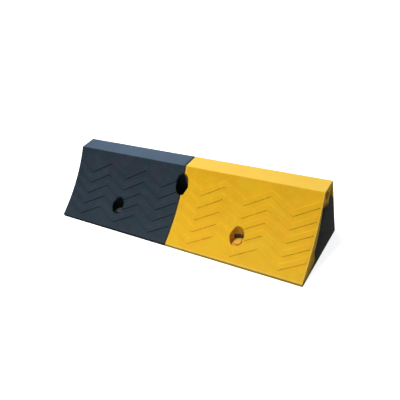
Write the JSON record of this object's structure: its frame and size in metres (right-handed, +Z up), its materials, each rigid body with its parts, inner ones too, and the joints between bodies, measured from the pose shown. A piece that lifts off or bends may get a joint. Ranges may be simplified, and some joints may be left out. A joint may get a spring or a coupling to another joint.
{
  "type": "modular rubber wheel stop",
  "caption": "Rubber wheel stop of two end-to-end modules, black and yellow, with a hollow zigzag-treaded face, a narrow flat top and counterbored bolt holes.",
  "frame": {"origin": "centre of the base, on the ground, at the seam between the two modules", "axes": "+X along the stop towards the yellow module, +Y from the treaded face to the back, +Z up"},
  "size_m": [1.0004, 0.27, 0.2],
  "materials": {
    "black_rubber": "matt moulded black rubber, slightly grey-blue",
    "core_rubber": "matt black rubber with a crumb texture",
    "yellow_rubber": "satin moulded yellow rubber",
    "sleeve_steel": "zinc-plated tube",
    "dowel_plastic": "plain turned black rod"
  },
  "bodies": {
    "root": {"black_body": "black_rubber", "yellow_core": "core_rubber", "yellow_skin": "yellow_rubber", "black_bolt_sleeve": "sleeve_steel", "yellow_bolt_sleeve": "sleeve_steel", "black_bung": "black_rubber", "yellow_bung": "yellow_rubber", "link_dowel": "dowel_plastic"}
  },
  "joints": []
}
